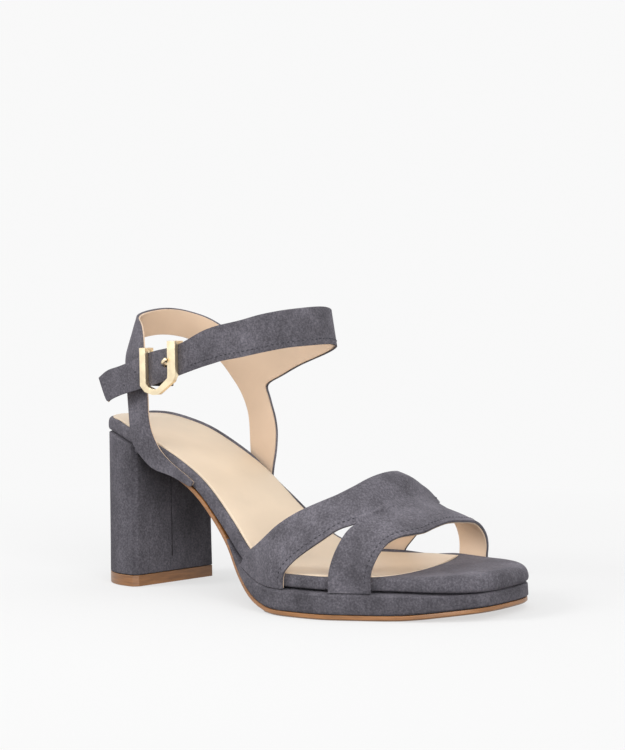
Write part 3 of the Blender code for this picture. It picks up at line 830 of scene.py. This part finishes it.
class SANDAL_OT_sock(bpy.types.Operator):
    """Lays the tan leather sock on the footbed"""

    bl_idname = "sandal.sock"
    bl_label = "Sock"

    def execute(self, context):
        material = leather_material("sock leather", settings().sock, 0.46, 0.25)
        builder = merged_copy("sock")
        bmesh.ops.translate(builder, verts=builder.verts, vec=(0.0, 0.0, -SOCK_SINK))
        piece = add_piece("sock_leather", builder, [material], ("sock",))
        round_edges(piece, SOCK_ROUND)
        subdivide(piece, 1)
        return {"FINISHED"}


class SANDAL_OT_straps(bpy.types.Operator):
    """Makes the vamp straps and the ankle strap as a suede layer over a leather lining"""

    bl_idname = "sandal.straps"
    bl_label = "Straps"

    def execute(self, context):
        values = settings()
        suede = suede_material("strap suede")
        lining = leather_material("strap lining", values.lining, 0.55)
        for node, levels in (("vamp_straps", 3), ("ankle_strap", 2)):
            outer = smooth_sheet(node, 0, levels)
            if node == "vamp_straps":
                press_crease(outer, values)
            layer_piece(
                f"{node}_suede",
                outer,
                suede,
                values.suede_thickness,
                values.fold,
                (node,),
            )
            inner = smooth_sheet(node, 1, 2, values.lining_inset)
            if node == "vamp_straps":
                draw_back(inner, CREASE[0], CORNER_REACH, CORNER_SHARE)
            layer_piece(
                f"{node}_lining",
                inner,
                lining,
                values.lining_thickness,
                values.fold * 0.4,
            )
        return {"FINISHED"}


class SANDAL_OT_stitches(bpy.types.Operator):
    """Sews the front edges of the vamp straps and the lower edge of the ankle strap"""

    bl_idname = "sandal.stitches"
    bl_label = "Stitches"

    def execute(self, context):
        # The thread's dark colour also fills the pinhole plugs, where it is painted shade inside the holes.
        thread = plain_material("thread", (0.028, 0.027, 0.036), 0.7)
        seats = [node_tree(node) for node in ("platform", "outsole", "heel_block")]

        def clear_of_sole(point):
            return all(tree.find_nearest(point)[3] > SOLE_CLEARANCE for tree in seats)

        rules = {
            "vamp_straps": lambda p, i: i.x < FRONT_EDGE_TURN and clear_of_sole(p),
            "ankle_strap": lambda p, i: i.z > LOWER_EDGE_TURN and p.x > LOOP_START and p.z > LOOP_LOW,
        }
        for node, allowed in rules.items():
            smooth = smooth_sheet(node, 0, 2)
            sew(f"{node}_stitches", smooth, allowed, thread)
            smooth.free()
        self.plug_holes_with_shade(thread)
        return {"FINISHED"}

    def plug_holes_with_shade(self, material):
        """Three pinholes in the strap's free end, as short dark plugs sunk in the suede: painted shade for
        the hollow of each hole.
        """
        strap = node_tree("ankle_strap")
        builder = bmesh.new()
        for x, z in PINHOLES:
            hit, normal, _, _ = strap.ray_cast(Vector((x, -0.1, z)), Vector((0.0, 1.0, 0.0)))
            turn = normal.to_track_quat("Z", "Y").to_matrix().to_4x4()
            bmesh.ops.create_cone(
                builder,
                cap_ends=True,
                segments=12,
                radius1=HOLE_RADIUS,
                radius2=HOLE_RADIUS,
                depth=HOLE_DEPTH,
                matrix=Matrix.Translation(hit - normal * HOLE_SINK) @ turn,
            )
        add_piece("tab_pinholes", builder, [material])


class SANDAL_OT_buckle(bpy.types.Operator):
    """Polishes the buckle's frame and prong and dresses its elastic"""

    bl_idname = "sandal.buckle"
    bl_label = "Buckle"

    def execute(self, context):
        gold = gold_material("gold plate")
        elastic = plain_material("black elastic", (0.012, 0.012, 0.014), 0.85, 2600.0, 0.8)
        dressed = {}
        for node, name, material, slot in (
            ("buckle_frame", "buckle_frame_gold", gold, "buckle_gold"),
            ("buckle_prong", "buckle_prong_gold", gold, "buckle_gold"),
            ("buckle_elastic", "buckle_elastic_loop", elastic, "elastic_black"),
        ):
            dressed[node] = add_piece(name, merged_copy(node), [material], (node,))
        round_edges(dressed["buckle_frame"], FRAME_ROUND, 4, 30.0)
        subdivide(dressed["buckle_prong"], 1)
        round_edges(dressed["buckle_elastic"], ELASTIC_ROUND, 2, 30.0)
        return {"FINISHED"}


class SANDAL_OT_studio(bpy.types.Operator):
    """Sets the pale floor, the soft lights and the camera"""

    bl_idname = "sandal.studio"
    bl_label = "Studio"

    def execute(self, context):
        scene = context.scene
        values = settings()
        scene.view_settings.view_transform = "Standard"
        world = bpy.data.worlds.new("Studio")
        world.use_nodes = True
        tree = world.node_tree
        coordinate = tree.nodes.new("ShaderNodeTexCoord")
        split = tree.nodes.new("ShaderNodeSeparateXYZ")
        tree.links.new(coordinate.outputs["Generated"], split.inputs["Vector"])
        height = tree.nodes.new("ShaderNodeMapRange")
        height.inputs["From Min"].default_value = -0.3
        height.inputs["From Max"].default_value = 0.25
        tree.links.new(split.outputs["Z"], height.inputs["Value"])
        sky = ramp(tree, height.outputs["Result"], [(0.0, (0.14, 0.14, 0.14)), (1.0, (1.0, 1.0, 1.0))])
        tree.links.new(sky, tree.nodes["Background"].inputs["Color"])
        tree.nodes["Background"].inputs["Strength"].default_value = WORLD_STRENGTH
        scene.world = world
        self.make_backdrop(values)
        for name, place, size, power in LIGHTS:
            self.make_light(name, Vector(place), size, power)
        self.make_camera(scene, values)
        return {"FINISHED"}

    def make_backdrop(self, values):
        """Seamless sweep: a round floor that curves up to a wall all round the shoe."""
        profile = [(0.0, 0.0), (FLOOR_DEPTH, 0.0)]
        for i in range(1, SWEEP_STEPS + 1):
            angle = math.pi / 2 * i / SWEEP_STEPS
            out = FLOOR_DEPTH + SWEEP_RADIUS * math.sin(angle)
            profile.append((out, SWEEP_RADIUS - SWEEP_RADIUS * math.cos(angle)))
        profile.append((FLOOR_DEPTH + SWEEP_RADIUS, WALL_HEIGHT))
        builder = bmesh.new()
        floor = CAD_BOX[0][2] - FLOOR_GAP
        line = [builder.verts.new((x, 0.0, z + floor)) for x, z in profile]
        for low, high in zip(line, line[1:]):
            builder.edges.new((low, high))
        bmesh.ops.spin(
            builder,
            geom=builder.verts[:] + builder.edges[:],
            cent=(0.0, 0.0, 0.0),
            axis=(0.0, 0.0, 1.0),
            angle=math.tau,
            steps=48,
            use_merge=True,
        )
        bmesh.ops.remove_doubles(builder, verts=builder.verts, dist=MERGE)
        bmesh.ops.recalc_face_normals(builder, faces=builder.faces)
        mesh = bpy.data.meshes.new("Backdrop")
        builder.to_mesh(mesh)
        builder.free()
        mesh.shade_smooth()
        material, tree, shader = new_material("Backdrop")
        middle = tree.nodes.new("ShaderNodeVectorMath")
        middle.operation = "DISTANCE"
        middle.inputs[1].default_value = SHADOW_MIDDLE
        tree.links.new(object_coordinates(tree), middle.inputs[0])
        away = middle.outputs["Value"]
        near = (values.floor_glow,) * 3
        far = (values.backdrop,) * 3
        paint = ramp(tree, away, [(SHADOW_NEAR, (values.floor_paint,) * 3), (SHADOW_FAR, (0.0,) * 3)])
        glow = ramp(tree, away, [(SHADOW_NEAR, near), (SHADOW_FAR, far)])
        tree.links.new(paint, shader.inputs["Base Color"])
        tree.links.new(glow, shader.inputs["Emission Color"])
        shader.inputs["Roughness"].default_value = 1.0
        shader.inputs["Specular IOR Level"].default_value = 0.0
        shader.inputs["Emission Strength"].default_value = 1.0
        mesh.materials.append(material)
        backdrop = bpy.data.objects.new("Backdrop", mesh)
        backdrop.visible_diffuse = False
        backdrop.visible_shadow = False
        bpy.context.scene.collection.objects.link(backdrop)

    def make_light(self, name, place, size, power):
        light = bpy.data.lights.new(name, "AREA")
        light.size = size
        light.energy = power
        lamp = bpy.data.objects.new(name, light)
        lamp.location = place
        aim = Vector(settings().view_target) - place
        lamp.rotation_euler = aim.to_track_quat("-Z", "Y").to_euler()
        bpy.context.scene.collection.objects.link(lamp)

    def make_camera(self, scene, values):
        camera = bpy.data.cameras.new("Camera")
        camera.sensor_width = 36.0
        camera.lens = LENS
        camera.clip_end = 20.0
        holder = bpy.data.objects.new("Camera", camera)
        turn = Matrix.Rotation(values.view_turn, 4, "Z")
        tilt = Matrix.Rotation(math.pi / 2 - values.view_height, 4, "X")
        roll = Matrix.Rotation(values.view_roll, 4, "Z")
        back = Matrix.Translation((0.0, 0.0, values.view_distance))
        holder.matrix_world = Matrix.Translation(values.view_target) @ turn @ tilt @ roll @ back
        scene.collection.objects.link(holder)
        scene.camera = holder


class SANDAL_PT_panel(bpy.types.Panel):
    """Sidebar panel with the sandal's pieces"""

    bl_label = "Sandal"
    bl_idname = "SANDAL_PT_panel"
    bl_space_type = "VIEW_3D"
    bl_region_type = "UI"
    bl_category = "Sandal"

    def draw(self, context):
        for operator in OPERATORS:
            self.layout.operator(operator.bl_idname)


OPERATORS = (
    SANDAL_OT_sole,
    SANDAL_OT_sock,
    SANDAL_OT_straps,
    SANDAL_OT_stitches,
    SANDAL_OT_buckle,
    SANDAL_OT_studio,
)


def register():
    bpy.utils.register_class(SandalSettings)
    for operator in OPERATORS:
        bpy.utils.register_class(operator)
    bpy.utils.register_class(SANDAL_PT_panel)
    bpy.types.Scene.sandal = bpy.props.PointerProperty(type=SandalSettings)


def unregister():
    del bpy.types.Scene.sandal
    bpy.utils.unregister_class(SANDAL_PT_panel)
    for operator in reversed(OPERATORS):
        bpy.utils.unregister_class(operator)
    bpy.utils.unregister_class(SandalSettings)


def main():
    register()
    bpy.ops.sandal.sole()
    bpy.ops.sandal.sock()
    bpy.ops.sandal.straps()
    bpy.ops.sandal.stitches()
    bpy.ops.sandal.buckle()
    bpy.ops.sandal.studio()


if __name__ == "__main__":
    main()
